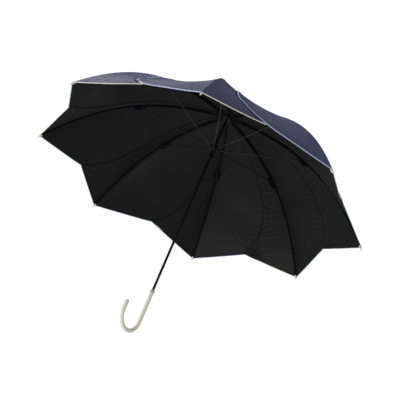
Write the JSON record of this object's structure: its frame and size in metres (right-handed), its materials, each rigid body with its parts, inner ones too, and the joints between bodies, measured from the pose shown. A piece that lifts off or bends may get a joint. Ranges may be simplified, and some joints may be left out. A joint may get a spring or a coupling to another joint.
{
  "type": "stick umbrella",
  "caption": "Open stick umbrella with a scalloped canopy of lapped petals, folding ribs and stretchers on a sliding runner, and a crook handle.",
  "frame": {"origin": "centre of the ferrule's flat end, on the shaft axis", "axes": "+Z along the shaft from the handle to the ferrule, +X along the first rib; the others follow clockwise seen from above"},
  "size_m": [0.8706, 0.8706, 0.6959],
  "materials": {
    "black_steel": "satin",
    "black_rod": "satin",
    "grey_steel": "satin",
    "cover_cloth": "matte",
    "navy_cloth": "matte",
    "cap_cream": "satin",
    "black_moulding": "matte",
    "ring_wire": "satin",
    "rosette_cloth": "matte",
    "ferrule_cream": "satin",
    "cream_moulding": "satin",
    "pewter_collar": "satin",
    "spring_steel": "satin",
    "strap_cloth": "matte"
  },
  "bodies": {
    "stick": {"shaft": "black_steel", "crown_notch": "black_moulding", "crown_wire": "ring_wire", "crown_rosette": "rosette_cloth", "ferrule": "ferrule_cream", "handle": "cream_moulding", "handle_collar": "pewter_collar"},
    "runner": {"runner": "black_moulding", "runner_wire": "ring_wire"},
    "rib_1": {"rib_inner_1": "black_steel", "joint_cover_1": "cover_cloth", "petal_1": "navy_cloth"},
    "rib_end_1": {"rib_outer_1": "black_rod", "tip_cap_1": "cap_cream"},
    "stretcher_arm_1": {"stretcher_1": "grey_steel"},
    "rib_2": {"rib_inner_2": "black_steel", "joint_cover_2": "cover_cloth", "petal_2": "navy_cloth"},
    "rib_end_2": {"rib_outer_2": "black_rod", "tip_cap_2": "cap_cream"},
    "stretcher_arm_2": {"stretcher_2": "grey_steel"},
    "rib_3": {"rib_inner_3": "black_steel", "joint_cover_3": "cover_cloth", "petal_3": "navy_cloth"},
    "rib_end_3": {"rib_outer_3": "black_rod", "tip_cap_3": "cap_cream", "tie_strap": "strap_cloth"},
    "stretcher_arm_3": {"stretcher_3": "grey_steel"},
    "rib_4": {"rib_inner_4": "black_steel", "joint_cover_4": "cover_cloth", "petal_4": "navy_cloth"},
    "rib_end_4": {"rib_outer_4": "black_rod", "tip_cap_4": "cap_cream"},
    "stretcher_arm_4": {"stretcher_4": "grey_steel"},
    "rib_5": {"rib_inner_5": "black_steel", "joint_cover_5": "cover_cloth", "petal_5": "navy_cloth"},
    "rib_end_5": {"rib_outer_5": "black_rod", "tip_cap_5": "cap_cream"},
    "stretcher_arm_5": {"stretcher_5": "grey_steel"},
    "rib_6": {"rib_inner_6": "black_steel", "joint_cover_6": "cover_cloth", "petal_6": "navy_cloth"},
    "rib_end_6": {"rib_outer_6": "black_rod", "tip_cap_6": "cap_cream"},
    "stretcher_arm_6": {"stretcher_6": "grey_steel"},
    "rib_7": {"rib_inner_7": "black_steel", "joint_cover_7": "cover_cloth", "petal_7": "navy_cloth"},
    "rib_end_7": {"rib_outer_7": "black_rod", "tip_cap_7": "cap_cream"},
    "stretcher_arm_7": {"stretcher_7": "grey_steel"},
    "rib_8": {"rib_inner_8": "black_steel", "joint_cover_8": "cover_cloth", "petal_8": "navy_cloth"},
    "rib_end_8": {"rib_outer_8": "black_rod", "tip_cap_8": "cap_cream"},
    "stretcher_arm_8": {"stretcher_8": "grey_steel"},
    "top_catch_spring": {"top_catch": "spring_steel"},
    "bottom_catch_spring": {"bottom_catch": "spring_steel"}
  },
  "joints": [
    {"name": "rib_1_fold", "type": "hinge", "parent": "stick", "child": "rib_1", "pos_m": [0.0108, 0, -0.0557], "axis": [0, 1, 0], "range_deg": [0, 71.5], "deforming": ["petal_1"]},
    {"name": "rib_1_flex", "type": "hinge", "parent": "rib_1", "child": "rib_end_1", "pos_m": [0.24284, 0, -0.11345], "axis": [0, 1, 0], "range_deg": [-23, 0.5]},
    {"name": "stretcher_1_fold", "type": "hinge", "parent": "rib_1", "child": "stretcher_arm_1", "pos_m": [0.21703, 0, -0.10558], "axis": [0, 1, 0], "range_deg": [-143.5, 0.5]},
    {"name": "rib_2_fold", "type": "hinge", "parent": "stick", "child": "rib_2", "pos_m": [0.00764, -0.00764, -0.0557], "axis": [0.7071, 0.7071, 0], "range_deg": [-0.5, 72], "deforming": ["petal_2"]},
    {"name": "rib_2_flex", "type": "hinge", "parent": "rib_2", "child": "rib_end_2", "pos_m": [0.17171, -0.17171, -0.11345], "axis": [0.7071, 0.7071, 0], "range_deg": [-23, 0.5]},
    {"name": "stretcher_2_fold", "type": "hinge", "parent": "rib_2", "child": "stretcher_arm_2", "pos_m": [0.15346, -0.15346, -0.10558], "axis": [0.7071, 0.7071, 0], "range_deg": [-143.5, 0.5]},
    {"name": "rib_3_fold", "type": "hinge", "parent": "stick", "child": "rib_3", "pos_m": [0, -0.0108, -0.0557], "axis": [1, 0, 0], "range_deg": [-0.5, 72], "deforming": ["petal_3"]},
    {"name": "rib_3_flex", "type": "hinge", "parent": "rib_3", "child": "rib_end_3", "pos_m": [0, -0.24284, -0.11345], "axis": [1, 0, 0], "range_deg": [-23, 0.5], "deforming": ["tie_strap"]},
    {"name": "stretcher_3_fold", "type": "hinge", "parent": "rib_3", "child": "stretcher_arm_3", "pos_m": [0, -0.21703, -0.10558], "axis": [1, 0, 0], "range_deg": [-143.5, 0.5]},
    {"name": "rib_4_fold", "type": "hinge", "parent": "stick", "child": "rib_4", "pos_m": [-0.00764, -0.00764, -0.0557], "axis": [0.7071, -0.7071, 0], "range_deg": [-0.5, 72], "deforming": ["petal_4"]},
    {"name": "rib_4_flex", "type": "hinge", "parent": "rib_4", "child": "rib_end_4", "pos_m": [-0.17171, -0.17171, -0.11345], "axis": [0.7071, -0.7071, 0], "range_deg": [-23, 0.5]},
    {"name": "stretcher_4_fold", "type": "hinge", "parent": "rib_4", "child": "stretcher_arm_4", "pos_m": [-0.15346, -0.15346, -0.10558], "axis": [0.7071, -0.7071, 0], "range_deg": [-143.5, 0.5]},
    {"name": "rib_5_fold", "type": "hinge", "parent": "stick", "child": "rib_5", "pos_m": [-0.0108, 0, -0.0557], "axis": [0, -1, 0], "range_deg": [-0.5, 72], "deforming": ["petal_5"]},
    {"name": "rib_5_flex", "type": "hinge", "parent": "rib_5", "child": "rib_end_5", "pos_m": [-0.24284, 0, -0.11345], "axis": [0, -1, 0], "range_deg": [-23, 0.5]},
    {"name": "stretcher_5_fold", "type": "hinge", "parent": "rib_5", "child": "stretcher_arm_5", "pos_m": [-0.21703, 0, -0.10558], "axis": [0, -1, 0], "range_deg": [-143.5, 0.5]},
    {"name": "rib_6_fold", "type": "hinge", "parent": "stick", "child": "rib_6", "pos_m": [-0.00764, 0.00764, -0.0557], "axis": [-0.7071, -0.7071, 0], "range_deg": [-0.5, 72], "deforming": ["petal_6"]},
    {"name": "rib_6_flex", "type": "hinge", "parent": "rib_6", "child": "rib_end_6", "pos_m": [-0.17171, 0.17171, -0.11345], "axis": [-0.7071, -0.7071, 0], "range_deg": [-23, 0.5]},
    {"name": "stretcher_6_fold", "type": "hinge", "parent": "rib_6", "child": "stretcher_arm_6", "pos_m": [-0.15346, 0.15346, -0.10558], "axis": [-0.7071, -0.7071, 0], "range_deg": [-143.5, 0.5]},
    {"name": "rib_7_fold", "type": "hinge", "parent": "stick", "child": "rib_7", "pos_m": [0, 0.0108, -0.0557], "axis": [-1, 0, 0], "range_deg": [-0.5, 72], "deforming": ["petal_7"]},
    {"name": "rib_7_flex", "type": "hinge", "parent": "rib_7", "child": "rib_end_7", "pos_m": [0, 0.24284, -0.11345], "axis": [-1, 0, 0], "range_deg": [-23, 0.5]},
    {"name": "stretcher_7_fold", "type": "hinge", "parent": "rib_7", "child": "stretcher_arm_7", "pos_m": [0, 0.21703, -0.10558], "axis": [-1, 0, 0], "range_deg": [-143.5, 0.5]},
    {"name": "rib_8_fold", "type": "hinge", "parent": "stick", "child": "rib_8", "pos_m": [0.00764, 0.00764, -0.0557], "axis": [-0.7071, 0.7071, 0], "range_deg": [-0.5, 72], "deforming": ["petal_8"]},
    {"name": "rib_8_flex", "type": "hinge", "parent": "rib_8", "child": "rib_end_8", "pos_m": [0.17171, 0.17171, -0.11345], "axis": [-0.7071, 0.7071, 0], "range_deg": [-23, 0.5]},
    {"name": "stretcher_8_fold", "type": "hinge", "parent": "rib_8", "child": "stretcher_arm_8", "pos_m": [0.15346, 0.15346, -0.10558], "axis": [-0.7071, 0.7071, 0], "range_deg": [-143.5, 0.5]},
    {"name": "runner_travel", "type": "hinge", "parent": "stretcher_arm_1", "child": "runner", "pos_m": [0.0108, 0, -0.15547], "axis": [0, 1, 0], "range_deg": [-0.5, 72]},
    {"name": "top_catch_press", "type": "hinge", "parent": "stick", "child": "top_catch_spring", "pos_m": [-0.00155, 0, -0.20057], "axis": [0, 1, 0], "range_deg": [0, 8], "stiffness_Nm_per_rad": 0.4},
    {"name": "bottom_catch_press", "type": "hinge", "parent": "stick", "child": "bottom_catch_spring", "pos_m": [-0.00155, 0, -0.5174], "axis": [0, 1, 0], "range_deg": [0, 8], "stiffness_Nm_per_rad": 0.4}
  ],
  "couplings": [
    {"joint": "rib_1_flex", "follows": "rib_1_fold", "ratio": -0.31469},
    {"joint": "stretcher_1_fold", "follows": "rib_1_fold", "ratio": -2},
    {"joint": "rib_2_fold", "follows": "rib_1_fold", "ratio": 1},
    {"joint": "rib_2_flex", "follows": "rib_1_fold", "ratio": -0.31469},
    {"joint": "stretcher_2_fold", "follows": "rib_1_fold", "ratio": -2},
    {"joint": "rib_3_fold", "follows": "rib_1_fold", "ratio": 1},
    {"joint": "rib_3_flex", "follows": "rib_1_fold", "ratio": -0.31469},
    {"joint": "stretcher_3_fold", "follows": "rib_1_fold", "ratio": -2},
    {"joint": "rib_4_fold", "follows": "rib_1_fold", "ratio": 1},
    {"joint": "rib_4_flex", "follows": "rib_1_fold", "ratio": -0.31469},
    {"joint": "stretcher_4_fold", "follows": "rib_1_fold", "ratio": -2},
    {"joint": "rib_5_fold", "follows": "rib_1_fold", "ratio": 1},
    {"joint": "rib_5_flex", "follows": "rib_1_fold", "ratio": -0.31469},
    {"joint": "stretcher_5_fold", "follows": "rib_1_fold", "ratio": -2},
    {"joint": "rib_6_fold", "follows": "rib_1_fold", "ratio": 1},
    {"joint": "rib_6_flex", "follows": "rib_1_fold", "ratio": -0.31469},
    {"joint": "stretcher_6_fold", "follows": "rib_1_fold", "ratio": -2},
    {"joint": "rib_7_fold", "follows": "rib_1_fold", "ratio": 1},
    {"joint": "rib_7_flex", "follows": "rib_1_fold", "ratio": -0.31469},
    {"joint": "stretcher_7_fold", "follows": "rib_1_fold", "ratio": -2},
    {"joint": "rib_8_fold", "follows": "rib_1_fold", "ratio": 1},
    {"joint": "rib_8_flex", "follows": "rib_1_fold", "ratio": -0.31469},
    {"joint": "stretcher_8_fold", "follows": "rib_1_fold", "ratio": -2},
    {"joint": "runner_travel", "follows": "rib_1_fold", "ratio": 1}
  ]
}
